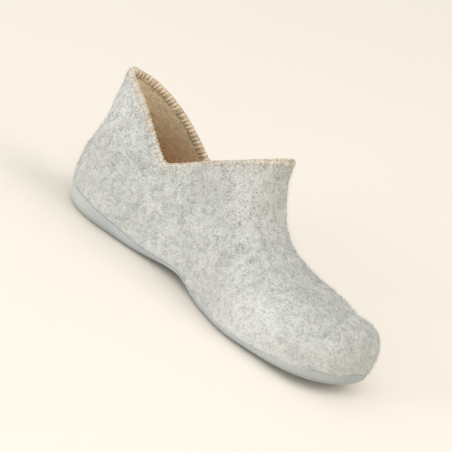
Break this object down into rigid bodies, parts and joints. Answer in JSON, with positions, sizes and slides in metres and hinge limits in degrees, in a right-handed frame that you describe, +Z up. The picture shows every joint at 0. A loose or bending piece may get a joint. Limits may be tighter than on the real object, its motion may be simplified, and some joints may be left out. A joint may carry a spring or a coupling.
{
  "type": "felt ankle slipper",
  "caption": "Left felt house slipper with a pointed heel tab, notched ankle collar and rounded toe, moulded in one hollow upper on a low cupped rubber sole.",
  "frame": {"origin": "centre of the footprint's bounding box, on the floor under the sole", "axes": "+X from heel to toe, +Y to the outer (little toe) side of this left slipper, +Z up"},
  "size_m": [0.2568, 0.0928, 0.1056],
  "materials": {
    "felt": "light grey heathered wool felt, matt and slightly hairy",
    "sole_rubber": "smooth matt pale grey moulded rubber",
    "footbed": "beige short-pile textile",
    "lining": "beige brushed fleece",
    "yarn": "cream and taupe wool yarn"
  },
  "bodies": {
    "root": {"upper": "felt", "outsole": "sole_rubber", "insole": "footbed"}
  },
  "joints": []
}
